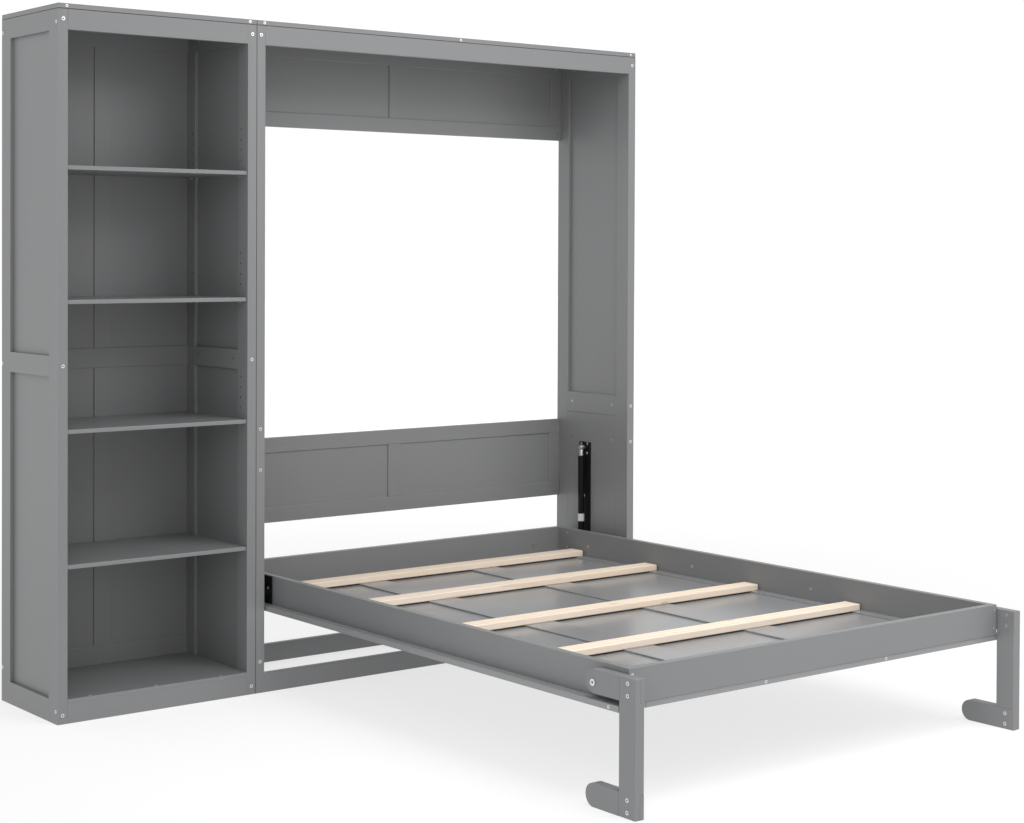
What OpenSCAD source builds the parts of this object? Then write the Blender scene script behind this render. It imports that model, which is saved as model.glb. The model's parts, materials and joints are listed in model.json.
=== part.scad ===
/* [Cabinet] */
// Height of the side frames, without the top boards
side_h = 2055; // [2040:5:2100]
// Depth of the cabinet, front to back
cabinet_d = 387; // [384:1:400]
// Outside width of the open bookcase
bookcase_w = 658; // [600:1:700]
// Clear width between the bed cabinet's side frames
bed_bay_w = 1500; // [1500:1:1520]
// Thickness of every side frame
side_t = 31; // [28:1:34]
// Width of the upright posts
post_w = 60; // [56:1:64]
// Height of the frame rails and of the front fascias
rail_h = 60; // [56:1:62]
// Thickness of the fascias and bottom rails
fascia_t = 20; // [16:1:20]
// Thickness of the top boards
top_t = 15; // [12:1:18]
// Depth of the strip along the front of each top board
top_strip_d = 44; // [40:1:60]
// Thickness of the back frames, valance and headboard
back_t = 14; // [12:1:14]
// Thickness of the panels held in the side frames
panel_t = 8; // [6:1:10]
// Thickness of the panels held in the back frames and the deck
thin_panel_t = 6; // [4:1:8]
// Depth of the groove that holds a panel's edge
groove = 8; // [5:1:10]

/* [Bookcase] */
// Thickness of the shelves and of the bottom board
shelf_t = 12; // [10:1:18]
// Heights of the shelves' top faces
shelf_tops = [456, 846, 1220, 1607]; // [420:1:1640]
// Height of the kick rail under the bottom board
kick_h = 58; // [50:1:60]
// Height of the middle rails' lower edges
middle_rail_z = 998; // [980:1:1010]
// Width of the back's middle stile
back_stile_w = 60; // [50:1:70]
// Distance of the shelf pins' rows from the front and from the back
pin_inset = 42; // [36:1:50]
// Spacing of the shelf pin holes
pin_pitch = 32; // [32:1:40]

/* [Bed cabinet] */
// Height of the flush board at the foot of each side frame
lower_board_h = 775; // [770:1:780]
// Height of the side frames' rail above that board
lower_rail_h = 73; // [60:1:80]
// Height of the valance's lower edge
valance_z = 1773; // [1760:1:1780]
// Height of the headboard's lower edge
headboard_z = 461; // [450:1:470]
// Height of the valance and of the headboard
valance_h = 282; // [270:1:282]
// Width of the valance's and headboard's frame members
valance_rail = 50; // [40:1:50]

/* [Bed] */
// Width of the mattress
mattress_w = 1372; // [1365:1:1380]
// Length of the mattress
mattress_l = 1905; // [1900:1:1910]
// Play around the mattress on each side
mattress_gap = 5; // [2:1:6]
// Thickness of the bed's rails
bed_rail_t = 20; // [18:1:22]
// Height of the bed's rails
bed_rail_h = 88; // [80:1:90]
// Height of the deck's underside above the floor
deck_z = 250; // [245:1:255]
// Thickness of the deck's frame
deck_t = 16; // [14:1:16]
// How far the deck stands out past each side rail
ledge_w = 32; // [30:1:34]
// How far the bed's head stops short of the rear posts
head_gap = 1; // [1:1:3]
// Width of the deck's outer stiles and end rails
deck_stile_w = 90; // [80:1:100]
// Width of the deck's two inner stiles
inner_stile_w = 108; // [90:1:120]
// Width of a slat
slat_w = 60; // [50:1:70]
// Thickness of a slat
slat_t = 20; // [16:1:22]
// Gap between a slat's end and the side rail
slat_gap = 8; // [4:1:12]
// Places of the slats' foot edges, from the front of the cabinet
slat_y = [-1142, -710, -230, 160]; // [-1560:1:200]

/* [Legs] */
// Thickness of a leg
leg_t = 28; // [26:1:28]
// Width of a leg's post and height of its arms
leg_w = 60; // [56:1:62]
// Height of a leg
leg_h = 341; // [339:1:342]
// Length of a leg's arms, post included
arm_l = 182; // [170:1:190]
// Height of the leg's pivot above the floor
leg_pivot_z = 308; // [306:1:309]
// Thickness of the washer between a leg and the rail
washer_t = 3; // [2:1:3]

/* [Lift] */
// Distance of the bed's pivot behind the cabinet's front
pivot_y = 67; // [67:1:68]
// Height of the bed's pivot above the floor
pivot_z = 295; // [293:1:296]
// Distance of the gas springs' studs behind the cabinet's front
stud_y = 225; // [220:1:230]
// Height of the gas springs' upper studs
upper_stud_z = 650; // [645:1:655]
// Height of the gas springs' lower eyes with the bed down
lower_eye_z = 335; // [333:1:338]
// Diameter of the gas springs' cylinders
cylinder_d = 23; // [20:1:24]
// Diameter of the gas springs' rods
rod_d = 10; // [8:1:10]
// Thickness of the steel plates
plate_t = 4; // [3:1:4]
// Radius of the bed's pivot pins
pivot_r = 8; // [6:1:8]

/* [Hidden] */
$fn = 32;

paint = [0.47, 0.48, 0.49];
pine = [0.87, 0.78, 0.65];
zinc = [0.78, 0.79, 0.80];
black = [0.06, 0.06, 0.07];

// Hairline between boards that meet in one frame
seam = 0.2;
// Open joint between the lower boards and the rails above them
board_joint = 1;

// Bolts, screws and nuts
head_r = 5.5;
head_h = 3;
head_proud = 1;
shank_r = 3;
shank_share = 0.6;
bolt_hole_l = 90;
side_hole_l = 70;
socket_r = 2.6;
socket_deep = 2.4;
screw_r = 4.5;
screw_l = 35;
short_screw_l = 18;
plate_screw_l = 20;
top_screw_l = top_strip_d + 25;
nut_r = 5;
nut_l = 22;
nut_inset = 25;
shank_gap = head_h - head_proud;
post_bolt_l = post_w + nut_inset - nut_r - head_proud;
side_bolt_l = side_t + nut_inset - nut_r;
pin_r = 2.5;
pin_hole_deep = 10;
pin_out = 9;
clearance = 0.3;
running_fit = 0.1;
wall_screw_r = 3;
wall_screw_spacing = 400;
wall_screw_drop = 12;

// Side frames, left to right
total_w = bookcase_w + bed_bay_w + 2 * side_t;
left_side_x = 0;
right_side_x = bookcase_w - side_t;
cabinet_left_x = bookcase_w;
cabinet_right_x = total_w - side_t;
bay_x = [bookcase_w + side_t, cabinet_right_x];
case_x = [side_t, right_side_x];
top_rail_z = [side_h - rail_h, side_h];
back_y = [cabinet_d - back_t, cabinet_d];
rear_post_y = cabinet_d - post_w;

// Bookcase frames
case_rail_z = [[0, kick_h + groove], [middle_rail_z, middle_rail_z + rail_h], top_rail_z];
back_rail_z = [[kick_h + shelf_t, kick_h + shelf_t + rail_h], case_rail_z[1], top_rail_z];
back_stile_x = [(bookcase_w - back_stile_w) / 2, (bookcase_w + back_stile_w) / 2];
case_bolt_z = [26, middle_rail_z + rail_h / 2 + 2, side_h - rail_h / 2];
top_bolt_drop = 38;
side_bolt_front_z = [37, side_h - top_bolt_drop];
side_bolt_rear_z = [kick_h + shelf_t + 32, middle_rail_z + 23, side_h - top_bolt_drop - 2];
side_bolt_right_z = [rail_h / 2, side_h - top_bolt_drop];
front_bolt_y = fascia_t / 2 + 2;
shelf_play = 1;
shelf_front_y = 5;
shelf_rear_y = back_y[0] - shelf_play;
bottom_screw_x = [107, 321, 540];
pin_zones = [[880, 980], [1260, 1380], [1640, 1740]];

// Bed cabinet frames
lower_rail_z = [lower_board_h, lower_board_h + lower_rail_h];
cabinet_bolt_z = [97, lower_board_h - 88, lower_board_h + 39, side_h - rail_h / 2];
valance_mid_x = (bay_x[0] + bay_x[1]) / 2;
valance_bolt_in = 20;
valance_bolt_z = [
    for (base = [headboard_z, valance_z], z = [valance_bolt_in, valance_h - valance_bolt_in]) base + z
];
top_screw_x = [27, bookcase_w - 24, bookcase_w + 27, valance_mid_x + 2, total_w - 22];

// Bed, measured from its middle line
bed_x = valance_mid_x;
rail_in = mattress_w / 2 + mattress_gap;
rail_out = rail_in + bed_rail_t;
ledge_out = rail_out + ledge_w;
head_y = rear_post_y - head_gap;
foot_y = head_y - mattress_l - 2 * mattress_gap - 2 * bed_rail_t;
deck_inset = 3;
deck_foot_y = foot_y + deck_inset;
deck_top_z = deck_z + deck_t;
bed_top_z = deck_top_z + bed_rail_h;
inner_stile_x = 234;
deck_end_y = [[deck_foot_y, deck_foot_y + deck_stile_w], [head_y - deck_stile_w, head_y]];
deck_screw_in = 36;
rail_screw_y = [-1468, -932, -395, 141];
rail_screw_z = deck_top_z + 35;
head_screw_x = 570;
head_screw_z = deck_top_z + 32;
corner_bolt_z = [deck_top_z + 20, bed_top_z - 17];
corner_nut_in = 67;
corner_nut_r = 4;
corner_nut_l = 14;
corner_bolt_l = corner_nut_in - corner_nut_r - head_proud;

// Legs
leg_in = rail_out + washer_t;
leg_out = leg_in + leg_t;
lap_t = 16;
post_front_y = foot_y - 58;
post_rear_y = post_front_y + leg_w;
arm_rear_y = post_front_y + arm_l;
leg_pivot_y = arm_rear_y - 26.5;
leg_pivot_r = 5;
leg_bolt_z = [15, 45, leg_h - 44, leg_h - 14];
leg_bolt_y = post_front_y + leg_w / 2 - 1;
leg_head_r = 9;
leg_washer_r = 13;
leg_socket_r = 3.6;

// Lift
plate_y = [196, 256];
plate_z = [265, 669];
plate_foot_y = 37;
plate_foot_z = 325;
plate_screw_places = [[245, 663], [211, 664], [213, 629], [227, 473], [240, 390], [60, 315], [100, 280]];
arm_plate_y = [17, 257];
arm_plate_in = 2;
arm_screw_places = [[36, 315], [115, 315], [170, 315], [240, 295]];
spring_out = bed_bay_w / 2 - 21;
cylinder_top = 620;
cylinder_l = 268;
cylinder_wall = 6;
rod_l = 270;
neck_l = 22;
neck_d = 14;
collar_r = 7;
collar_t = 5;
eye_r = 10;
eye_t = 8;
stud_r = 4;
bore_l = 12;

mid_y = (cabinet_d + post_front_y) / 2;

// Moves the design into the object's own frame, centred over its floor area.
module place() {
    translate([-total_w / 2, -mid_y, 0]) children();
}

// A board between three pairs of lowest and highest coordinates.
module board(x, y, z) {
    translate([x[0], y[0], z[0]]) cube([x[1] - x[0], y[1] - y[0], z[1] - z[0]]);
}

// The same shape on the left and on the right of the bed's middle line.
module both_sides() {
    for (side = [0, 1]) on_side(side) children();
}

// Side 0 is the left and side 1 the right; the shape is drawn for the right.
module on_side(side) {
    translate([bed_x, 0, 0]) mirror([1 - side, 0, 0]) children();
}

// A shape drawn along +Z, turned to run along +X from the place given.
module along_x(x, y, z) {
    translate([x, y, z]) rotate([0, 90, 0]) children();
}

// ---- Fasteners. Each is drawn along +Z, with its head's outer face at +head_proud.
module bolt_body(radius, length) {
    translate([0, 0, head_proud - head_h]) cylinder(r = radius, h = head_h);
    translate([0, 0, -length]) cylinder(r = min(shank_r, radius * shank_share), h = length - shank_gap);
}

module bolt(radius, length) {
    difference() {
        bolt_body(radius, length);
        translate([0, 0, head_proud - socket_deep])
            cylinder(r = socket_r * radius / head_r, h = socket_deep + 1, $fn = 6);
    }
}

// Places for the cabinet's bolts: into the posts from the front and from the back.
module at_post_bolts() {
    for (x = [left_side_x, right_side_x], z = case_bolt_z) at_front_and_back(x, z) children();
    for (x = [cabinet_left_x, cabinet_right_x], z = cabinet_bolt_z) at_front_and_back(x, z) children();
}

module at_front_and_back(x, z) {
    translate([x + side_t / 2, 0, z]) rotate([90, 0, 0]) children();
    translate([x + side_t / 2, cabinet_d - head_proud, z]) rotate([-90, 0, 0]) children();
}

// Places for the bolts through the outer faces of the two outer side frames.
module at_side_bolts() {
    for (z = side_bolt_front_z) translate([0, front_bolt_y, z]) rotate([0, -90, 0]) children();
    for (z = side_bolt_rear_z) translate([0, cabinet_d - back_t / 2, z]) rotate([0, -90, 0]) children();
    for (z = side_bolt_right_z) translate([total_w, front_bolt_y, z]) rotate([0, 90, 0]) children();
    for (z = valance_bolt_z) translate([total_w, cabinet_d - back_t / 2, z]) rotate([0, 90, 0]) children();
    translate([total_w, cabinet_d - fascia_t / 2, rail_h / 2]) rotate([0, 90, 0]) children();
}

// Places for the small screws in the front edges of the top boards.
module at_top_screws() {
    for (x = top_screw_x) translate([x, 0, side_h + top_t / 2]) rotate([90, 0, 0]) children();
}

// Places for the small screws through the bottom board's front strip.
module at_bottom_screws() {
    for (x = bottom_screw_x) translate([x, fascia_t / 2, kick_h + shelf_t]) children();
}

module cabinet_fastener_holes() {
    at_post_bolts() bolt_body(head_r, bolt_hole_l);
    at_side_bolts() bolt_body(head_r, side_hole_l);
    at_top_screws() bolt_body(screw_r, top_screw_l);
    at_bottom_screws() bolt_body(screw_r, screw_l);
    nuts();
}

// Barrel nuts across the side frames and the ends of valance and headboard.
module nuts() {
    side_nuts([case_x[0] - nut_l, case_x[1]], case_bolt_z);
    side_nuts([bay_x[0] - nut_l, bay_x[1]], cabinet_bolt_z);
    for (x = [bay_x[0] + nut_inset, bay_x[1] - nut_inset], z = valance_bolt_z)
        translate([x, back_y[0], z]) rotate([-90, 0, 0]) cylinder(r = nut_r, h = back_t - 2);
}

module side_nuts(starts, levels) {
    for (x = starts, y = [post_w + nut_inset, rear_post_y - nut_inset], z = levels)
        along_x(x, y, z) cylinder(r = nut_r, h = nut_l);
}

// ---- Side frames
module posts(x, height = side_h) {
    for (y = [[0, post_w], [rear_post_y, cabinet_d]]) board([x, x + side_t], y, [0, height]);
}

module side_rails(x, levels) {
    for (z = levels) board([x, x + side_t], [post_w, rear_post_y], z);
}

module side_panel(x, z) {
    inset = (side_t - panel_t) / 2;
    board([x + inset, x + inset + panel_t], [post_w - groove, rear_post_y + groove],
        [z[0] - groove, z[1] + groove]);
}

module case_panels(x) {
    side_panel(x, [case_rail_z[0][1], case_rail_z[1][0]]);
    side_panel(x, [case_rail_z[1][1], case_rail_z[2][0]]);
}

// Rows of holes for the shelf pins, and the holes that hold the pins themselves.
module pin_row(x, turn) {
    for (y = [pin_inset, cabinet_d - pin_inset]) {
        for (z = shelf_tops) at_pin(x, y, z - shelf_t - pin_r, turn) cylinder(r = pin_r, h = pin_hole_deep);
        for (zone = pin_zones, z = [zone[0] : pin_pitch : zone[1]])
            at_pin(x, y, z, turn) cylinder(r = pin_r, h = pin_hole_deep);
    }
}

module at_pin(x, y, z, turn) {
    translate([x, y, z]) rotate([0, turn, 0]) children();
}

module bookcase_posts(x, inner_x, turn) {
    place() color(paint) difference() {
        posts(x);
        case_panels(x);
        cabinet_fastener_holes();
        pin_row(inner_x, turn);
    }
}

module bookcase_rails(x) {
    place() color(paint) difference() {
        side_rails(x, case_rail_z);
        case_panels(x);
        cabinet_fastener_holes();
    }
}

module bookcase_left_posts() { bookcase_posts(left_side_x, side_t, -90); }
module bookcase_left_rails() { bookcase_rails(left_side_x); }
module bookcase_left_panels() { place() color(paint) case_panels(left_side_x); }
module bookcase_right_posts() { bookcase_posts(right_side_x, right_side_x, 90); }
module bookcase_right_rails() { bookcase_rails(right_side_x); }
module bookcase_right_panels() { place() color(paint) case_panels(right_side_x); }

module cabinet_panel(x) {
    side_panel(x, [lower_rail_z[1], top_rail_z[0]]);
}

module cabinet_posts(x) {
    place() color(paint) difference() {
        posts(x);
        cabinet_panel(x);
        cabinet_fastener_holes();
        screws_of_plates();
    }
}

module cabinet_rails(x) {
    place() color(paint) difference() {
        side_rails(x, [[lower_rail_z[0] + board_joint, lower_rail_z[1]], top_rail_z]);
        cabinet_panel(x);
        cabinet_fastener_holes();
    }
}

module cabinet_lower_board(x) {
    place() color(paint) difference() {
        side_rails(x, [[0, lower_board_h]]);
        cabinet_fastener_holes();
        screws_of_plates();
    }
}

module cabinet_left_posts() { cabinet_posts(cabinet_left_x); }
module cabinet_left_rails() { cabinet_rails(cabinet_left_x); }
module cabinet_left_panel() { place() color(paint) cabinet_panel(cabinet_left_x); }
module cabinet_left_lower_board() { cabinet_lower_board(cabinet_left_x); }
module cabinet_right_posts() { cabinet_posts(cabinet_right_x); }
module cabinet_right_rails() { cabinet_rails(cabinet_right_x); }
module cabinet_right_panel() { place() color(paint) cabinet_panel(cabinet_right_x); }
module cabinet_right_lower_board() { cabinet_lower_board(cabinet_right_x); }

// ---- Boards across the front, top and bottom
module front_board(x, z) {
    place() color(paint) difference() {
        board(x, [0, fascia_t], z);
        cabinet_fastener_holes();
    }
}

module bookcase_top() { split_top([0, bookcase_w]); }
module cabinet_top() { split_top([bookcase_w, total_w]); }

// A top board with its separate front strip, joined by screws through the strip.
module split_top(x) {
    for (y = [[0, top_strip_d - seam], [top_strip_d, cabinet_d]]) place() color(paint) difference() {
        board(x, y, [side_h, side_h + top_t]);
        at_top_screws() bolt_body(screw_r, top_screw_l);
    }
}

module bookcase_fascia() { front_board(case_x, top_rail_z); }
module bookcase_kick_rail() { front_board(case_x, [0, kick_h]); }
module cabinet_fascia() { front_board(bay_x, top_rail_z); }
module front_bottom_rail() { front_board(bay_x, [0, rail_h]); }

module rear_bottom_rail() {
    place() color(paint) difference() {
        board(bay_x, [cabinet_d - fascia_t, cabinet_d], [0, rail_h]);
        cabinet_fastener_holes();
    }
}

module bookcase_bottom_board() {
    for (y = [[0, fascia_t - seam], [fascia_t, cabinet_d]]) place() color(paint) difference() {
        board(case_x, y, [kick_h, kick_h + shelf_t]);
        at_bottom_screws() bolt_body(screw_r, screw_l);
    }
}

// ---- Shelves and their pins
module shelf(level) {
    place() color(paint)
        board([case_x[0] + shelf_play, case_x[1] - shelf_play], [shelf_front_y, shelf_rear_y],
            [shelf_tops[level] - shelf_t, shelf_tops[level]]);
}

module shelf_1() { shelf(0); }
module shelf_2() { shelf(1); }
module shelf_3() { shelf(2); }
module shelf_4() { shelf(3); }

module shelf_pins() {
    place() color(zinc)
        for (z = shelf_tops, y = [pin_inset, cabinet_d - pin_inset], end = [0, 1])
            translate([case_x[end], y, z - shelf_t - pin_r]) rotate([0, end == 0 ? -90 : 90, 0])
                translate([0, 0, -pin_out]) cylinder(r = pin_r, h = pin_out + pin_hole_deep);
}

// ---- Bookcase back: rails and one stile around four thin panels
module back_panels() {
    y = [back_y[0] + (back_t - thin_panel_t) / 2, back_y[1] - (back_t - thin_panel_t) / 2];
    for (x = [[case_x[0], back_stile_x[0] + groove], [back_stile_x[1] - groove, case_x[1]]], level = [0, 1])
        board(x, y, [back_rail_z[level][1] - groove, back_rail_z[level + 1][0] + groove]);
}

module bookcase_back_frame() {
    place() color(paint) difference() {
        union() {
            for (z = back_rail_z) board(case_x, back_y, z);
            for (level = [0, 1])
                board(back_stile_x, back_y,
                    [back_rail_z[level][1] + seam, back_rail_z[level + 1][0] - seam]);
        }
        back_panels();
        cabinet_fastener_holes();
    }
}

module bookcase_back_panels() { place() color(paint) back_panels(); }

// ---- Valance and headboard: the same frame with two panels at two heights
module frame_panels(base) {
    y = [back_y[0] + (back_t - thin_panel_t) / 2, back_y[1] - (back_t - thin_panel_t) / 2];
    for (x = [
        [bay_x[0] + valance_rail - groove, valance_mid_x - valance_rail / 2 + groove],
        [valance_mid_x + valance_rail / 2 - groove, bay_x[1] - valance_rail + groove]
    ])
        board(x, y, [base + valance_rail - groove, base + valance_h - valance_rail + groove]);
}

module frame_members(base) {
    for (z = [[base, base + valance_rail], [base + valance_h - valance_rail, base + valance_h]])
        board(bay_x, back_y, z);
    for (x = [bay_x[0], valance_mid_x - valance_rail / 2, bay_x[1] - valance_rail])
        board([x, x + valance_rail], back_y,
            [base + valance_rail + seam, base + valance_h - valance_rail - seam]);
}

module panelled_frame(base) {
    place() color(paint) difference() {
        frame_members(base);
        frame_panels(base);
        cabinet_fastener_holes();
    }
}

// Two pairs of holes for screws into the wall, hidden behind the fascia.
module wall_screw_holes() {
    for (step = [-1.5 : 1 : 1.5])
        translate([valance_mid_x + step * wall_screw_spacing, back_y[0] - 1, side_h - wall_screw_drop])
            rotate([-90, 0, 0]) cylinder(r = wall_screw_r, h = back_t + 2);
}

module valance_frame() {
    difference() {
        panelled_frame(valance_z);
        place() wall_screw_holes();
    }
}

module valance_panels() { place() color(paint) frame_panels(valance_z); }
module headboard_frame() { panelled_frame(headboard_z); }
module headboard_panels() { place() color(paint) frame_panels(headboard_z); }

// ---- Fastener nodes of the cabinet
module cabinet_bolts() {
    place() color(zinc) {
        at_post_bolts() bolt(head_r, post_bolt_l);
        at_side_bolts() bolt(head_r, side_bolt_l);
        at_top_screws() bolt(screw_r, top_screw_l);
        at_bottom_screws() bolt(screw_r, screw_l);
    }
}

module barrel_nuts() { place() color(zinc) nuts(); }

// ---- Lift hardware on the cabinet
module plate_outline() {
    inner = bed_bay_w / 2 - plate_t;
    board([inner, bed_bay_w / 2], plate_y, plate_z);
    board([inner, bed_bay_w / 2], [plate_foot_y, plate_y[1]], [plate_z[0], plate_foot_z]);
}

module at_plate_screws() {
    for (spot = plate_screw_places)
        along_x(bed_bay_w / 2 - plate_t, spot[0], spot[1]) mirror([0, 0, 1]) children();
}

module screws_of_plates() {
    both_sides() at_plate_screws() bolt_body(screw_r, plate_screw_l);
}

module cabinet_plates() {
    place() color(black) both_sides() difference() {
        plate_outline();
        at_plate_screws() bolt_body(screw_r, plate_screw_l);
        along_x(bed_bay_w / 2 - plate_t - 1, pivot_y, pivot_z) cylinder(r = pivot_r, h = plate_t + 2);
        along_x(bed_bay_w / 2 - plate_t - 1, stud_y, upper_stud_z) cylinder(r = stud_r, h = plate_t + 2);
    }
}

module plate_screws() {
    place() color(zinc) both_sides() at_plate_screws() bolt(screw_r, plate_screw_l);
}

module pivot_pins() {
    place() color(zinc) both_sides() along_x(rail_out - bore_l, pivot_y, pivot_z)
        cylinder(r = pivot_r, h = bed_bay_w / 2 - rail_out + bore_l);
}

module upper_studs() {
    place() color(zinc) both_sides() along_x(spring_out - eye_t, stud_y, upper_stud_z) {
        cylinder(r = stud_r, h = bed_bay_w / 2 - spring_out + eye_t);
        cylinder(r = collar_r, h = eye_t / 2 - clearance);
        translate([0, 0, eye_t * 1.5 + clearance]) cylinder(r = collar_r, h = collar_t);
    }
}

// ---- Gas springs, drawn for the right side
module gas_cylinder(side) {
    place() color(black) on_side(side) difference() {
        union() {
            translate([spring_out, stud_y, cylinder_top - cylinder_l])
                cylinder(d = cylinder_d, h = cylinder_l);
            translate([spring_out, stud_y, cylinder_top]) cylinder(d = neck_d, h = neck_l);
            spring_eye(upper_stud_z);
        }
        translate([spring_out, stud_y, cylinder_top - cylinder_l - 1])
            cylinder(d = rod_d + 2 * clearance, h = cylinder_l - cylinder_wall);
        spring_eye_bore(upper_stud_z);
    }
}

module spring_eye(z) {
    along_x(spring_out - eye_t / 2, stud_y, z) cylinder(r = eye_r, h = eye_t);
}

module spring_eye_bore(z) {
    along_x(spring_out - eye_t, stud_y, z) cylinder(r = stud_r + running_fit, h = 2 * eye_t);
}

module piston_rod(side) {
    place() color(zinc) on_side(side) difference() {
        union() {
            translate([spring_out, stud_y, lower_eye_z]) cylinder(d = rod_d, h = rod_l);
            spring_eye(lower_eye_z);
        }
        spring_eye_bore(lower_eye_z);
    }
}

module left_gas_cylinder() { gas_cylinder(0); }
module left_piston_rod() { piston_rod(0); }
module right_gas_cylinder() { gas_cylinder(1); }
module right_piston_rod() { piston_rod(1); }

// ---- Bed: a box of four rails on a panelled deck, with slats across it
module bed_rail(x, y) {
    place() color(paint) difference() {
        board([bed_x + x[0], bed_x + x[1]], y, [deck_top_z, bed_top_z]);
        bed_fastener_holes();
    }
}

module bed_side_rails() {
    for (x = [[-rail_out, -rail_in], [rail_in, rail_out]])
        bed_rail(x, [foot_y + bed_rail_t, head_y - bed_rail_t]);
}

module bed_foot_rail() { bed_rail([-rail_out, rail_out], [foot_y, foot_y + bed_rail_t]); }
module bed_head_rail() { bed_rail([-rail_out, rail_out], [head_y - bed_rail_t, head_y]); }

module deck_panel_solids() {
    z = [deck_z + (deck_t - thin_panel_t) / 2, deck_top_z - (deck_t - thin_panel_t) / 2];
    outer = ledge_out - deck_stile_w + groove;
    inner = inner_stile_x - inner_stile_w / 2 + groove;
    inner_far = inner_stile_x + inner_stile_w / 2 - groove;
    for (x = [[-outer, -inner_far], [-inner, inner], [inner_far, outer]])
        board([bed_x + x[0], bed_x + x[1]],
            [deck_end_y[0][1] - groove, deck_end_y[1][0] + groove], z);
}

module deck_stiles() {
    place() color(paint) difference() {
        both_sides() {
            board([ledge_out - deck_stile_w, ledge_out], [deck_foot_y, head_y], [deck_z, deck_top_z]);
            board([inner_stile_x - inner_stile_w / 2, inner_stile_x + inner_stile_w / 2],
                [deck_end_y[0][1], deck_end_y[1][0]], [deck_z, deck_top_z]);
        }
        deck_panel_solids();
        bed_fastener_holes();
    }
}

module deck_rails() {
    reach = ledge_out - deck_stile_w;
    place() color(paint) difference() {
        for (y = deck_end_y) board([bed_x - reach, bed_x + reach], y, [deck_z, deck_top_z]);
        deck_panel_solids();
        bed_fastener_holes();
    }
}

module deck_panels() { place() color(paint) deck_panel_solids(); }

module slats() {
    reach = rail_in - slat_gap;
    z = [deck_top_z, deck_top_z + slat_t];
    place() color(pine)
        for (y = slat_y) board([bed_x - reach, bed_x + reach], [y, y + slat_w], z);
}

module bed_arm_plates() {
    place() color(black) both_sides() difference() {
        board([rail_out, rail_out + plate_t], arm_plate_y,
            [deck_top_z + arm_plate_in, bed_top_z - arm_plate_in]);
        along_x(rail_out - 1, pivot_y, pivot_z) cylinder(r = pivot_r + running_fit, h = plate_t + 2);
        at_arm_screws() bolt_body(screw_r, short_screw_l);
        along_x(rail_out - 1, stud_y, lower_eye_z) cylinder(r = stud_r, h = plate_t + 2);
    }
}

module at_arm_screws() {
    for (spot = arm_screw_places) along_x(rail_out + plate_t, spot[0], spot[1]) children();
}

// Places for the bolts through the foot and head rails into the ends of the side rails.
module at_corner_bolts() {
    both_sides() for (z = corner_bolt_z) {
        translate([rail_out - bed_rail_t / 2, foot_y, z]) rotate([90, 0, 0]) children();
        translate([rail_out - bed_rail_t / 2, head_y, z]) rotate([-90, 0, 0]) children();
    }
}

// Places for the screws of the bed's box and deck.
module at_bed_screws() {
    both_sides() {
        for (y = rail_screw_y) along_x(rail_in, y, rail_screw_z) mirror([0, 0, 1]) children();
        translate([head_screw_x, head_y - bed_rail_t, head_screw_z]) rotate([90, 0, 0]) children();
        for (y = [deck_foot_y, head_y])
            translate([inner_stile_x, y, deck_z + deck_t / 2]) rotate([y < 0 ? 90 : -90, 0, 0]) children();
        for (y = [deck_foot_y + deck_screw_in, head_y - deck_screw_in])
            along_x(ledge_out, y, deck_z + deck_t / 2) children();
        at_arm_screws() children();
    }
}

// Barrel nuts of the corner bolts, in the inner faces of the side rails.
module corner_nuts() {
    both_sides() for (y = [foot_y + corner_nut_in, head_y - corner_nut_in], z = corner_bolt_z)
        along_x(rail_in, y, z) cylinder(r = corner_nut_r, h = corner_nut_l);
}

module bed_fastener_holes() {
    at_bed_screws() bolt_body(screw_r, short_screw_l);
    at_corner_bolts() bolt_body(screw_r, corner_bolt_l);
    corner_nuts();
    both_sides() {
        along_x(rail_out - bore_l, pivot_y, pivot_z) cylinder(r = pivot_r + running_fit, h = bore_l + 1);
        along_x(rail_out - bore_l, leg_pivot_y, leg_pivot_z) cylinder(r = leg_pivot_r, h = bore_l + 1);
    }
}

module bed_screws() {
    place() color(zinc) {
        at_bed_screws() bolt(screw_r, short_screw_l);
        at_corner_bolts() bolt(screw_r, corner_bolt_l);
        corner_nuts();
        both_sides() along_x(rail_out, stud_y, lower_eye_z) {
            cylinder(r = stud_r, h = spring_out - eye_t / 2 - 1 - rail_out);
            translate([0, 0, plate_t]) cylinder(r = collar_r, h = eye_t / 2 - 1);
        }
    }
}

// Bolts that the legs turn on, each with a washer between the leg and the rail.
module leg_pivots() {
    reach = leg_out + clearance - rail_out + bore_l;
    place() color(zinc) both_sides() {
        along_x(rail_out - bore_l, leg_pivot_y, leg_pivot_z) difference() {
            union() {
                cylinder(r = leg_pivot_r, h = reach + head_h);
                translate([0, 0, reach]) cylinder(r = leg_head_r, h = head_h);
            }
            translate([0, 0, reach + head_h - socket_deep])
                cylinder(r = leg_socket_r, h = socket_deep + 1, $fn = 6);
        }
        along_x(rail_out, leg_pivot_y, leg_pivot_z) difference() {
            cylinder(r = leg_washer_r, h = washer_t - running_fit);
            translate([0, 0, -1]) cylinder(r = leg_pivot_r, h = washer_t + 2);
        }
    }
}

// ---- Legs, drawn for the right side: the post's outer layer laps over the arms' inner layer
module leg_post(side) {
    place() color(paint) on_side(side) difference() {
        union() {
            board([leg_out - lap_t, leg_out], [post_front_y, post_rear_y], [0, leg_h]);
            board([leg_in, leg_out - lap_t], [post_front_y, post_rear_y], [leg_w, leg_h - leg_w]);
        }
        leg_bolt_holes();
    }
}

module leg_arms(side) {
    place() color(paint) on_side(side) difference() {
        for (z = [0, leg_h - leg_w]) leg_arm(z);
        leg_bolt_holes();
        along_x(leg_in - 1, leg_pivot_y, leg_pivot_z) cylinder(r = leg_pivot_r + running_fit, h = leg_t + 2);
    }
}

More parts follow.
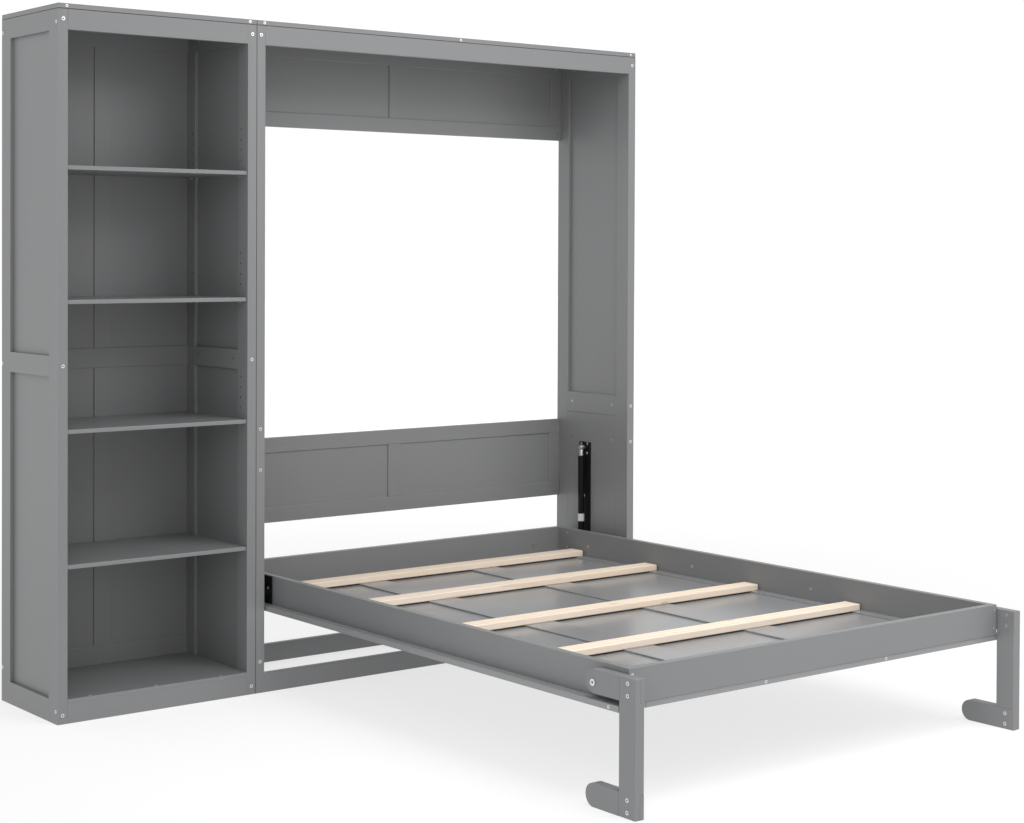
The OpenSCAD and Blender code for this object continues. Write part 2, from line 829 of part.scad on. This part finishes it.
module leg_arm(z) {
    board([leg_in, leg_out - lap_t], [post_front_y, post_rear_y], [z, z + leg_w]);
    board([leg_in, leg_out], [post_rear_y, arm_rear_y - leg_w / 2], [z, z + leg_w]);
    along_x(leg_in, arm_rear_y - leg_w / 2, z + leg_w / 2) cylinder(d = leg_w, h = leg_t);
}

module leg_bolt_holes() {
    at_leg_bolts() bolt_body(head_r, leg_t);
    for (z = leg_bolt_z) along_x(leg_in, leg_bolt_y, z) mirror([0, 0, 1])
        translate([0, 0, head_proud - head_h]) cylinder(r = head_r, h = head_h);
}

module at_leg_bolts() {
    for (z = leg_bolt_z) along_x(leg_out, leg_bolt_y, z) children();
}

// Each leg bolt has a head on the outer face and a sleeve nut with the same head on the inner face.
module leg_bolts(side) {
    place() color(zinc) on_side(side) {
        at_leg_bolts() bolt(head_r, leg_t - head_h + head_proud);
        for (z = leg_bolt_z) along_x(leg_in, leg_bolt_y, z) mirror([0, 0, 1]) difference() {
            translate([0, 0, head_proud - head_h]) cylinder(r = head_r, h = head_h);
            translate([0, 0, head_proud - socket_deep])
                cylinder(r = socket_r, h = socket_deep + 1, $fn = 6);
        }
    }
}

module left_leg_post() { leg_post(0); }
module left_leg_arms() { leg_arms(0); }
module left_leg_bolts() { leg_bolts(0); }
module right_leg_post() { leg_post(1); }
module right_leg_arms() { leg_arms(1); }
module right_leg_bolts() { leg_bolts(1); }

bookcase_left_posts();
bookcase_left_rails();
bookcase_left_panels();
bookcase_right_posts();
bookcase_right_rails();
bookcase_right_panels();
bookcase_top();
bookcase_fascia();
bookcase_kick_rail();
bookcase_bottom_board();
shelf_1();
shelf_2();
shelf_3();
shelf_4();
shelf_pins();
bookcase_back_frame();
bookcase_back_panels();
cabinet_left_posts();
cabinet_left_rails();
cabinet_left_panel();
cabinet_left_lower_board();
cabinet_right_posts();
cabinet_right_rails();
cabinet_right_panel();
cabinet_right_lower_board();
cabinet_top();
cabinet_fascia();
front_bottom_rail();
rear_bottom_rail();
valance_frame();
valance_panels();
headboard_frame();
headboard_panels();
cabinet_bolts();
barrel_nuts();
cabinet_plates();
plate_screws();
pivot_pins();
upper_studs();
left_gas_cylinder();
left_piston_rod();
right_gas_cylinder();
right_piston_rod();
bed_side_rails();
bed_foot_rail();
bed_head_rail();
deck_stiles();
deck_rails();
deck_panels();
slats();
bed_arm_plates();
bed_screws();
leg_pivots();
left_leg_post();
left_leg_arms();
left_leg_bolts();
right_leg_post();
right_leg_arms();
right_leg_bolts();
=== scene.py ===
import json
import math

import bmesh
import bpy
from mathutils import Matrix, Vector


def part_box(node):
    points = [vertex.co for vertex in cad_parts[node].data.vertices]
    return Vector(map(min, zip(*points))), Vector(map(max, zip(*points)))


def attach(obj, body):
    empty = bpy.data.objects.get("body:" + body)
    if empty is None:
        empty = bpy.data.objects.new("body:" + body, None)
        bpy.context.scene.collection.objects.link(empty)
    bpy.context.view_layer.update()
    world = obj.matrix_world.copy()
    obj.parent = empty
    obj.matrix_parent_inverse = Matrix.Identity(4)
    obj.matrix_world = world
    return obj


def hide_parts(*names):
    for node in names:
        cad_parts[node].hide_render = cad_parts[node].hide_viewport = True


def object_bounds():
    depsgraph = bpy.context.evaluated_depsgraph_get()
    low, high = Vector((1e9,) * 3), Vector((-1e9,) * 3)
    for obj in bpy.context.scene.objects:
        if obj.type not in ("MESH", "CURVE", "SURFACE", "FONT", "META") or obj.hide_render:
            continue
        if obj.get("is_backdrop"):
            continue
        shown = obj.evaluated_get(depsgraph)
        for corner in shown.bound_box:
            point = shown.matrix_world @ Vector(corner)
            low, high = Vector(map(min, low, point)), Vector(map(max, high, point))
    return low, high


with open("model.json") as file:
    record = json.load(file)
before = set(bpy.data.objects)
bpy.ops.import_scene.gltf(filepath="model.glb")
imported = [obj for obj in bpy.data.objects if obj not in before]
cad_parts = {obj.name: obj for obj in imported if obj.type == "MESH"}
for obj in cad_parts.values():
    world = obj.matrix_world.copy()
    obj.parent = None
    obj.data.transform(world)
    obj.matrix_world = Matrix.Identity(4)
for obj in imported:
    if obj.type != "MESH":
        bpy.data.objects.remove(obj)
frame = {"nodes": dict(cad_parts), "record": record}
cad_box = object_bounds()

# The plane where the two cabinets meet, and the one where their top boards lie on them
SEAM_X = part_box("cabinet_left_posts")[0].x
SEAM_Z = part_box("cabinet_left_posts")[1].z

MM = 0.001

# Colours, linear
GREY = (0.205, 0.208, 0.212)
PINE_LIGHT = (0.95, 0.83, 0.71)
PINE_DARK = (0.79, 0.62, 0.45)
ZINC = (0.80, 0.81, 0.82)
DULL_ZINC = (0.48, 0.49, 0.50)
SOCKET = (0.05, 0.05, 0.055)
BLACK = (0.006, 0.006, 0.007)
LABEL_PALE = (0.66, 0.66, 0.64)

# How wide the edges are eased, metres
BOARD_EDGE = 1.2 * MM
JOINT_EDGE = 0.3 * MM
SLAT_EDGE = 2.5 * MM
METAL_EDGE = 0.4 * MM

# The edges round a hole are shorter than HOLE_CHORD. An edge lies on a seam, or on a board's front
# face, if it is closer to it than the next two lengths.
HOLE_CHORD = 8 * MM
ON_SEAM = 0.5 * MM
ON_FRONT = 0.3 * MM

# Places in a piece's list of materials, after the one for its sides
SECOND, THIRD = 1, 2

# The gas springs: the bare steel at the top, the label band's two edges, and the collar's (radius, height)
SPRING_RADIUS = 11.5 * MM
SPRING_SILVER = 40 * MM
LABEL_SKIN = 0.15 * MM
LABEL_BAND = (30 * MM, 57 * MM)
COLLAR = ((6 * MM, -2 * MM), (8.5 * MM, -1.5 * MM), (9.5 * MM, 0.0), (6 * MM, 0.0))
TURNED_SIDES = 48

# Edges steeper than EASED_ANGLE are eased, and those above CREASE_ANGLE stay crisp in the shading.
EASED_ANGLE = math.radians(65)
CREASE_ANGLE = math.radians(25)
FLAT_ANGLE = math.radians(1)

# A face is flat if it is larger than FLAT_AREA, in square metres, and its normal lies along an axis.
FLAT_AREA = 1e-5
SQUARE_ON = 0.9999
HEXAGON_SKEW = 1.02

# Most of a noise texture's values lie in this span.
NOISE_SPAN = (0.3, 0.7)

# The camera stands at the front left of the bed, a little above the middle of the cabinet.
CAMERA_PLACE = Vector((-3.5129, -4.4334, 1.3693))
CAMERA_YAW = math.radians(37.69)
CAMERA_PITCH = math.radians(-0.81)
CAMERA_ROLL = math.radians(0.22)
CAMERA_LENS = 67.56
CAMERA_SHIFT = (0.0312, -0.1316)

# The studio: the camera sees a white backdrop on every side. The light comes from dim walls, which
# turn into a ceiling where a direction's Z passes through WALL_TOP, and into a brighter wall behind
# the object where its Y passes through BEHIND.
BACKDROP = 1.05
WALLS = 0.49
CEILING = 0.50
WALL_TOP = (0.20, 0.50)
BACK_WALL = 0.86
BEHIND = (0.35, 0.75)

# The floor: a pale sheet whose glow rises over a span of distances from the object, in metres
FLOOR_REACH = 40.0
FLOOR_GREY = 0.32
FLOOR_GLOW = (0.70, 0.95)
GLOW_RISE = (2.5, 6.5)

# Soft boxes: name, place, target, width and depth, power, angle of the beam in degrees
LIGHTS = (
    ("over_foot", (1.0, -2.6, 3.4), (0.6, -1.3, 0.0), (2.0, 2.0), 60.0, 180),
    ("over_bed", (-0.5, -1.2, 3.1), (0.8, -0.3, 0.1), (1.6, 1.6), 11.0, 90),
    ("front_right", (4.0, -4.5, 3.2), (0.0, 0.0, 0.9), (3.0, 3.0), 38.0, 180),
    ("front_left", (-4.5, -4.5, 3.2), (0.0, 0.0, 0.9), (3.0, 3.0), 68.0, 180),
    ("left", (-3.2, 0.0, 3.5), (-1.1, 0.3, 1.7), (2.0, 2.0), 13.0, 180),
)


# ---------------------------------------------------------------- materials
class Nodes:
    """A material's node tree, with short calls for adding and joining nodes."""

    def __init__(self, name):
        self.material = bpy.data.materials.new(name)
        self.material.use_nodes = True
        self.tree = self.material.node_tree
        self.shader = self.tree.nodes["Principled BSDF"]

    def add(self, kind, **settings):
        node = self.tree.nodes.new(kind)
        for key, value in settings.items():
            if key in node.inputs.keys():
                node.inputs[key].default_value = value
            else:
                setattr(node, key, value)
        return node

    def join(self, source, target):
        self.tree.links.new(source, target)

    def place(self, scale=(1.0, 1.0, 1.0)):
        """Object coordinates, in metres, stretched by scale."""
        coordinates = self.add("ShaderNodeTexCoord")
        mapping = self.add("ShaderNodeMapping")
        mapping.inputs["Scale"].default_value = scale
        self.join(coordinates.outputs["Object"], mapping.inputs["Vector"])
        return mapping.outputs["Vector"]

    def noise(self, vector, scale, detail=2.0, roughness=0.5):
        node = self.add("ShaderNodeTexNoise", Scale=scale, Detail=detail, Roughness=roughness)
        self.join(vector, node.inputs["Vector"])
        return node.outputs["Fac"]

    def ramp(self, value, result, span=NOISE_SPAN):
        """Maps value from a span to a result, each a pair of numbers."""
        node = self.add("ShaderNodeMapRange")
        node.inputs["From Min"].default_value, node.inputs["From Max"].default_value = span
        node.inputs["To Min"].default_value, node.inputs["To Max"].default_value = result
        self.join(value, node.inputs["Value"])
        return node.outputs["Result"]

    def blend(self, factor, first, second):
        """A colour between first and second; each is a colour or a socket."""
        node = self.add("ShaderNodeMix", data_type="RGBA")
        self.join(factor, node.inputs["Factor"])
        for socket, value in ((node.inputs[6], first), (node.inputs[7], second)):
            if isinstance(value, tuple):
                socket.default_value = (*value, 1.0)
            else:
                self.join(value, socket)
        return node.outputs[2]

    def add_up(self, first, second, share):
        """first plus share times second."""
        node = self.add("ShaderNodeMath", operation="MULTIPLY_ADD")
        self.join(second, node.inputs[0])
        node.inputs[1].default_value = share
        self.join(first, node.inputs[2])
        return node.outputs["Value"]

    def bump(self, height, strength, distance):
        node = self.add("ShaderNodeBump", Strength=strength, Distance=distance)
        self.join(height, node.inputs["Height"])
        self.join(node.outputs["Normal"], self.shader.inputs["Normal"])

    def base(self, colour):
        self.join(colour, self.shader.inputs["Base Color"])

    def gloss(self, roughness, specular=0.5, metallic=0.0):
        """Roughness from a socket; specular level and metallic are constants on the shader."""
        self.join(roughness, self.shader.inputs["Roughness"])
        self.shader.inputs["Specular IOR Level"].default_value = specular
        self.shader.inputs["Metallic"].default_value = metallic


def shade(colour, amount):
    return tuple(c * amount for c in colour)


def along(axis, fine, coarse):
    """Texture scale that draws streaks along one axis: coarse along it and fine across it."""
    return tuple(coarse if i == axis else fine for i in range(3))


def satin_paint(name, axis, tone, roughness):
    """Sprayed satin paint on planed wood: faint grain along the board and a fine orange peel."""
    m = Nodes(name)
    grain = m.noise(m.place(along(axis, 70.0, 2.0)), 1.0, detail=3.0, roughness=0.55)
    cloud = m.noise(m.place(), 3.0, detail=3.0)
    peel = m.noise(m.place(), 700.0, detail=1.0)
    mottle = m.add_up(cloud, grain, 0.35)
    span = (0.4, 0.95)
    m.base(m.blend(m.ramp(mottle, (0.0, 1.0), span), shade(GREY, tone * 0.985), shade(GREY, tone * 1.015)))
    m.gloss(m.ramp(mottle, (roughness - 0.02, roughness + 0.02), span))
    m.bump(m.add_up(peel, grain, 0.6), 0.04, 0.0002)
    return m.material


def paint_set(name, tone, roughness):
    """The same paint with its grain along X, Y and Z."""
    return [satin_paint(f"{name}_{'xyz'[axis]}", axis, tone, roughness) for axis in range(3)]


def pine_wood():
    """Planed pine: long pale growth lines with darker late wood, and a few small knots."""
    m = Nodes("pine_planed")
    vector = m.place((1.2, 14.0, 14.0))
    warp = m.noise(vector, 1.4, detail=3.0)
    ring = m.add("ShaderNodeTexWave", wave_type="BANDS", bands_direction="Y", wave_profile="SAW")
    ring.inputs["Scale"].default_value = 0.9
    ring.inputs["Distortion"].default_value = 5.5
    ring.inputs["Detail"].default_value = 3.0
    ring.inputs["Detail Scale"].default_value = 0.8
    m.join(vector, ring.inputs["Vector"])
    fibre = m.noise(m.place((12.0, 700.0, 700.0)), 1.0, detail=3.0)
    knots = m.add("ShaderNodeTexVoronoi", Scale=1.0)
    m.join(m.place((3.1, 11.0, 11.0)), knots.inputs["Vector"])
    late = m.ramp(ring.outputs["Fac"], (0.0, 0.55), (0.35, 1.0))
    body = m.blend(m.add_up(late, warp, 0.35), PINE_LIGHT, PINE_DARK)
    fine = m.blend(m.ramp(fibre, (0.0, 0.3), (0.45, 0.75)), body, shade(PINE_DARK, 0.85))
    knot = m.ramp(knots.outputs["Distance"], (0.5, 0.0), (0.035, 0.075))
    m.base(m.blend(knot, fine, shade(PINE_DARK, 0.5)))
    m.gloss(m.ramp(fibre, (0.5, 0.68)))
    m.bump(m.add_up(fibre, ring.outputs["Fac"], 0.5), 0.2, 0.0004)
    return m.material


def zinc_plate(name, colour, roughness):
    """Zinc plate: a cool metal with small cloudy changes of gloss."""
    m = Nodes(name)
    spot = m.noise(m.place(), 260.0, detail=3.0)
    m.base(m.blend(spot, shade(colour, 0.9), colour))
    m.gloss(m.ramp(spot, roughness), metallic=1.0)
    m.bump(spot, 0.08, 0.0003)
    return m.material


def dark_socket():
    """The unlit inside of a hexagon socket, with a trace of plating."""
    m = Nodes("socket_dark")
    spot = m.noise(m.place(), 400.0, detail=2.0)
    m.base(m.blend(spot, SOCKET, shade(SOCKET, 1.6)))
    m.gloss(m.ramp(spot, (0.5, 0.7)), specular=0.3)
    return m.material


def powder_coat():
    """Black powder coat: fine pebbled skin, half gloss."""
    m = Nodes("powder_coat_black")
    pebble = m.noise(m.place(), 1500.0, detail=1.0)
    cloud = m.noise(m.place(), 40.0, detail=2.0)
    m.base(m.blend(cloud, BLACK, shade(BLACK, 1.8)))
    m.gloss(m.ramp(cloud, (0.42, 0.54)), specular=0.12)
    m.bump(pebble, 0.2, 0.0003)
    return m.material


def gloss_black():
    """Painted cylinder of a gas spring: smooth black with a faint length-wise polish."""
    m = Nodes("spring_black")
    polish = m.noise(m.place((500.0, 500.0, 6.0)), 1.0, detail=2.0)
    m.base(m.blend(polish, BLACK, shade(BLACK, 1.6)))
    m.gloss(m.ramp(polish, (0.24, 0.34)), specular=0.14)
    return m.material


def plain_label():
    """A blank pale band round a gas spring, slightly aged paper."""
    m = Nodes("label_blank")
    fleck = m.noise(m.place(), 420.0, detail=2.0)
    m.base(m.blend(fleck, shade(LABEL_PALE, 0.9), LABEL_PALE))
    m.gloss(m.ramp(fleck, (0.5, 0.62)))
    return m.material


PAINT = paint_set("paint", 1.0, 0.40)
# The bed's deck: a lighter, glossier copy of the grey, painted light for the light and reflection the deck
# catches from above.
DECK_LIT_PAINT = paint_set("paint_deck_lit", 1.27, 0.24)
# Eased edges: a lighter copy of the grey, a painted highlight along every rounded edge.
EDGE_HIGHLIGHT_PAINT = paint_set("paint_edge_highlight", 1.14, 0.36)
# Seams and hole walls: a dark copy of the grey, painted shade in the gaps and holes.
SEAM_SHADE_PAINT = paint_set("paint_seam_shade", 0.30, 0.60)
PINE = pine_wood()
BRIGHT = zinc_plate("zinc_bright", ZINC, (0.30, 0.48))
DULL = zinc_plate("zinc_dull", DULL_ZINC, (0.42, 0.60))
SOCKET_DARK = dark_socket()
POWDER = powder_coat()
SPRING_BLACK = gloss_black()
LABEL = plain_label()


# ---------------------------------------------------------------- pieces
def connected_group(start, seen):
    """Every vertex that edges join to start."""
    seen.add(start.index)
    todo, group = [start], set()
    while todo:
        vert = todo.pop()
        group.add(vert.index)
        for edge in vert.link_edges:
            other = edge.other_vert(vert)
            if other.index not in seen:
                seen.add(other.index)
                todo.append(other)
    return group


def separate(mesh):
    """One bmesh for each solid of a CAD node, with flat faces joined up."""
    welded = bmesh.new()
    welded.from_mesh(mesh)
    bmesh.ops.remove_doubles(welded, verts=welded.verts, dist=1e-6)
    welded.verts.ensure_lookup_table()
    welded.verts.index_update()
    seen = set()
    for start in list(welded.verts):
        if start.index in seen:
            continue
        group = connected_group(start, seen)
        solid = welded.copy()
        solid.verts.ensure_lookup_table()
        strangers = [v for v in solid.verts if v.index not in group]
        bmesh.ops.delete(solid, geom=strangers, context="VERTS")
        bmesh.ops.dissolve_limit(solid, angle_limit=FLAT_ANGLE, verts=solid.verts, edges=solid.edges)
        yield solid
    welded.free()


def long_axis(solid):
    spans = [max(v.co[i] for v in solid.verts) - min(v.co[i] for v in solid.verts) for i in range(3)]
    return spans.index(max(spans))


def bevel(solid, edges, width, material=SECOND):
    """Eases edges by width. The new faces take the numbered material, by default the second, which on
    painted boards is a lighter paint that paints a highlight on the edges.
    """
    bmesh.ops.bevel(
        solid, geom=edges, offset=width, offset_type="OFFSET", segments=2, profile=0.5,
        affect="EDGES", clamp_overlap=True, material=material,
    )


def steep_edges(solid, shortest=0.0):
    edges = [e for e in solid.edges if e.is_manifold and e.calc_length() > shortest]
    return [e for e in edges if e.calc_face_angle(0) > EASED_ANGLE]


def round_edges(solid, width, shortest=0.0):
    bevel(solid, steep_edges(solid, shortest), width)


def round_seams(solid, width):
    """Eases the edges where the cabinets meet each other and their top boards, and gives the eased faces
    the third material, a dark paint that paints the shade in these gaps.
    """
    seams = ((0, SEAM_X), (2, SEAM_Z))
    lying = [
        e for e in steep_edges(solid, HOLE_CHORD)
        if any(all(abs(v.co[axis] - place) < ON_SEAM for v in e.verts) for axis, place in seams)
    ]
    bevel(solid, lying, width, material=THIRD)


def round_front_edges(solid, width):
    """Eases only the edges of the face that looks out of the cabinet."""
    front = min(v.co.y for v in solid.verts) + ON_FRONT
    edges = [e for e in steep_edges(solid, HOLE_CHORD) if max(v.co.y for v in e.verts) < front]
    bevel(solid, edges, width)


def paint_shade_in_holes(solid):
    """Gives the third material, a dark paint that paints shade, to the walls of round holes, which meet in
    shallow hollow edges.
    """
    for edge in solid.edges:
        if not edge.is_manifold or edge.is_convex:
            continue
        if FLAT_ANGLE < edge.calc_face_angle(0) < EASED_ANGLE:
            for face in edge.link_faces:
                face.material_index = THIRD


def is_hexagon(face):
    sides = [edge.calc_length() for edge in face.edges]
    return len(sides) == 6 and max(sides) < HEXAGON_SKEW * min(sides)


def mark_sockets(solid):
    """Gives the third material to each hexagonal socket's floor and walls."""
    for face in [f for f in solid.faces if is_hexagon(f)]:
        for edge in face.edges:
            for wall in edge.link_faces:
                wall.material_index = THIRD


def mark_above(solid, height):
    """Gives the second material to the faces above a height."""
    for face in solid.faces:
        if face.calc_center_median().z > height:
            face.material_index = SECOND


def shade_board(solid):
    """A board's sides, square to an axis, stay flat and don't shade into the eased edges."""
    solid.normal_update()
    for face in solid.faces:
        face.smooth = face.calc_area() < FLAT_AREA or max(abs(c) for c in face.normal) < SQUARE_ON


def shade_round(solid):
    for face in solid.faces:
        face.smooth = True


def make_piece(name, solid, body, materials, slot):
    mesh = bpy.data.meshes.new(name)
    for material in materials:
        mesh.materials.append(material)
    bmesh.ops.triangulate(solid, faces=[f for f in solid.faces if len(f.verts) > 4])
    smooth = [face.smooth for face in solid.faces]
    solid.to_mesh(mesh)
    solid.free()
    mesh.set_sharp_from_angle(angle=CREASE_ANGLE)
    mesh.polygons.foreach_set("use_smooth", smooth)
    piece = bpy.data.objects.new(name, mesh)
    bpy.context.scene.collection.objects.link(piece)
    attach(piece, body)
    return piece


def body_of_node(node):
    bodies = frame["record"]["behaviour"]["bodies"]
    return next(body for body, nodes in bodies.items() if node in nodes)


def is_flush(node):
    """True for the cabinets' side frames and panels, whose joints are filled and sanded flush."""
    jointed = node.endswith(("_posts", "_rails", "_panels", "_panel", "_lower_board"))
    return jointed and not node.startswith(("deck", "bed"))


def paint_board(solid, node):
    """Flush boards have only their front edges eased much, the others all of them."""
    paint_shade_in_holes(solid)
    round_seams(solid, BOARD_EDGE)
    if is_flush(node):
        round_front_edges(solid, BOARD_EDGE)
        round_edges(solid, JOINT_EDGE, HOLE_CHORD)
    else:
        round_edges(solid, BOARD_EDGE, HOLE_CHORD)
    shade_board(solid)
    # The deck takes the lighter copy of the paint, painted light for what it catches from above.
    paint = DECK_LIT_PAINT if node.startswith("deck") else PAINT
    axis = long_axis(solid)
    # Eased edges get the lighter paint, a painted highlight; seams and hole walls get the dark paint,
    # painted shade.
    return [paint[axis], EDGE_HIGHLIGHT_PAINT[axis], SEAM_SHADE_PAINT[axis]]


def plain_pine(solid, node):
    round_edges(solid, SLAT_EDGE)
    shade_board(solid)
    return [PINE, PINE]


def plated(solid, node):
    metal = DULL if node == "barrel_nuts" else BRIGHT
    mark_sockets(solid)
    round_edges(solid, METAL_EDGE)
    shade_round(solid)
    return [metal, metal, SOCKET_DARK]


def black_steel(solid, node):
    if "gas_cylinder" in node:
        mark_above(solid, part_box(node)[1].z - SPRING_SILVER)
        shade_round(solid)
        return [SPRING_BLACK, BRIGHT]
    round_edges(solid, METAL_EDGE)
    shade_board(solid)
    return [POWDER, POWDER]


FINISHES = {"grey_paint": paint_board, "pine": plain_pine, "zinc_steel": plated, "black_steel": black_steel}


def finish_nodes():
    """Replaces every CAD node with one eased, finished piece for each of its solids."""
    for row in frame["record"]["subparts"]:
        node, slot = row["node"], row["material_slot"]
        for number, solid in enumerate(separate(frame["nodes"][node].data), 1):
            materials = FINISHES[slot](solid, node)
            piece = make_piece(f"{node}.part{number}", solid, body_of_node(node), materials, slot)
            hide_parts(node)


def lathe(name, centre, profile, body, material, slot):
    """A piece turned about the vertical line through centre; profile holds (radius, height) pairs."""
    solid = bmesh.new()
    rings = []
    for radius, height in profile:
        ring = []
        for step in range(TURNED_SIDES):
            turn = Matrix.Rotation(2 * math.pi * step / TURNED_SIDES, 3, "Z")
            ring.append(solid.verts.new(centre + turn @ Vector((radius, 0.0, height))))
        rings.append(ring)
    for low, high in zip(rings, rings[1:] + rings[:1]):
        for step in range(TURNED_SIDES):
            after = (step + 1) % TURNED_SIDES
            solid.faces.new((low[step], low[after], high[after], high[step]))
    bmesh.ops.recalc_face_normals(solid, faces=solid.faces)
    shade_round(solid)
    return make_piece(name, solid, body, [material], slot)


def spring_trim(side):
    """The blank label band and the crimped collar of a gas spring."""
    low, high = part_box(f"{side}_gas_cylinder")
    centre = Vector(((low.x + high.x) / 2, (low.y + high.y) / 2, low.z))
    bottom, top = LABEL_BAND
    outer = SPRING_RADIUS + LABEL_SKIN
    band = ((SPRING_RADIUS, bottom), (outer, bottom), (outer, top), (SPRING_RADIUS, top))
    lathe(f"{side}_spring_label", centre, band, f"{side}_cylinder", LABEL, "grey_paint")
    lathe(f"{side}_spring_guide", centre, COLLAR, f"{side}_cylinder", POWDER, "black_steel")


# ---------------------------------------------------------------- scene
def floor():
    mesh = bpy.data.meshes.new("floor")
    corners = [(FLOOR_REACH * x, FLOOR_REACH * y, 0.0) for x, y in ((-1, -1), (1, -1), (1, 1), (-1, 1))]
    mesh.from_pydata(corners, [], [(0, 1, 2, 3)])
    m = Nodes("floor_white")
    soft = m.noise(m.place(), 0.7)
    m.base(m.blend(soft, (FLOOR_GREY * 0.98,) * 3, (FLOOR_GREY,) * 3))
    m.gloss(m.ramp(soft, (0.85, 0.95)), specular=0.0)
    m.shader.inputs["Emission Color"].default_value = (1.0, 1.0, 1.0, 1.0)
    distance = m.add("ShaderNodeVectorMath", operation="LENGTH")
    m.join(m.place(), distance.inputs[0])
    glow = m.ramp(distance.outputs["Value"], FLOOR_GLOW, GLOW_RISE)
    m.join(glow, m.shader.inputs["Emission Strength"])
    mesh.materials.append(m.material)
    obj = bpy.data.objects.new("floor", mesh)
    bpy.context.scene.collection.objects.link(obj)
    obj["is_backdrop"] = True


def area_light(name, place, target, size, power, beam):
    data = bpy.data.lights.new(name, "AREA")
    data.shape = "RECTANGLE"
    data.size, data.size_y = size
    data.energy = power
    data.spread = math.radians(beam)
    light = bpy.data.objects.new(name, data)
    light.location = place
    light.rotation_euler = (Vector(target) - Vector(place)).to_track_quat("-Z", "Y").to_euler()
    bpy.context.scene.collection.objects.link(light)


def studio_air():
    """Walls and a ceiling for the light, and plain white for the camera."""
    world = bpy.data.worlds.new("studio")
    world.use_nodes = True
    nodes, links = world.node_tree.nodes, world.node_tree.links
    direction = nodes.new("ShaderNodeTexCoord")
    parts = nodes.new("ShaderNodeSeparateXYZ")
    level = nodes.new("ShaderNodeMapRange")
    level.inputs["From Min"].default_value, level.inputs["From Max"].default_value = WALL_TOP
    level.inputs["To Min"].default_value = WALLS
    level.inputs["To Max"].default_value = CEILING
    behind = nodes.new("ShaderNodeMapRange")
    behind.inputs["From Min"].default_value, behind.inputs["From Max"].default_value = BEHIND
    light = nodes.new("ShaderNodeMix")
    light.inputs["B"].default_value = BACK_WALL
    seen = nodes.new("ShaderNodeLightPath")
    choice = nodes.new("ShaderNodeMix")
    choice.inputs["B"].default_value = BACKDROP
    links.new(direction.outputs["Generated"], parts.inputs["Vector"])
    links.new(parts.outputs["Z"], level.inputs["Value"])
    links.new(seen.outputs["Is Camera Ray"], choice.inputs["Factor"])
    links.new(parts.outputs["Y"], behind.inputs["Value"])
    links.new(behind.outputs["Result"], light.inputs["Factor"])
    links.new(level.outputs["Result"], light.inputs["A"])
    links.new(light.outputs["Result"], choice.inputs["A"])
    links.new(choice.outputs["Result"], nodes["Background"].inputs["Strength"])
    nodes["Background"].inputs["Color"].default_value = (1.0, 1.0, 1.0, 1.0)
    bpy.context.scene.world = world


def studio():
    bpy.context.scene.view_settings.view_transform = "Standard"
    studio_air()
    for light in LIGHTS:
        area_light(*light)
    floor()


def camera():
    data = bpy.data.cameras.new("camera")
    data.lens = CAMERA_LENS
    data.sensor_width = 36.0
    data.shift_x, data.shift_y = CAMERA_SHIFT
    data.clip_end = 200.0
    obj = bpy.data.objects.new("camera", data)
    heading = Matrix.Rotation(-CAMERA_YAW, 4, "Z") @ Matrix.Rotation(math.pi / 2 + CAMERA_PITCH, 4, "X")
    obj.matrix_world = Matrix.Translation(CAMERA_PLACE) @ heading @ Matrix.Rotation(CAMERA_ROLL, 4, "Z")
    bpy.context.scene.collection.objects.link(obj)
    bpy.context.scene.camera = obj


camera()
studio()
finish_nodes()
for spring_side in ("left", "right"):
    spring_trim(spring_side)

[[list(corner) for corner in box] for box in (cad_box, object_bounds())]
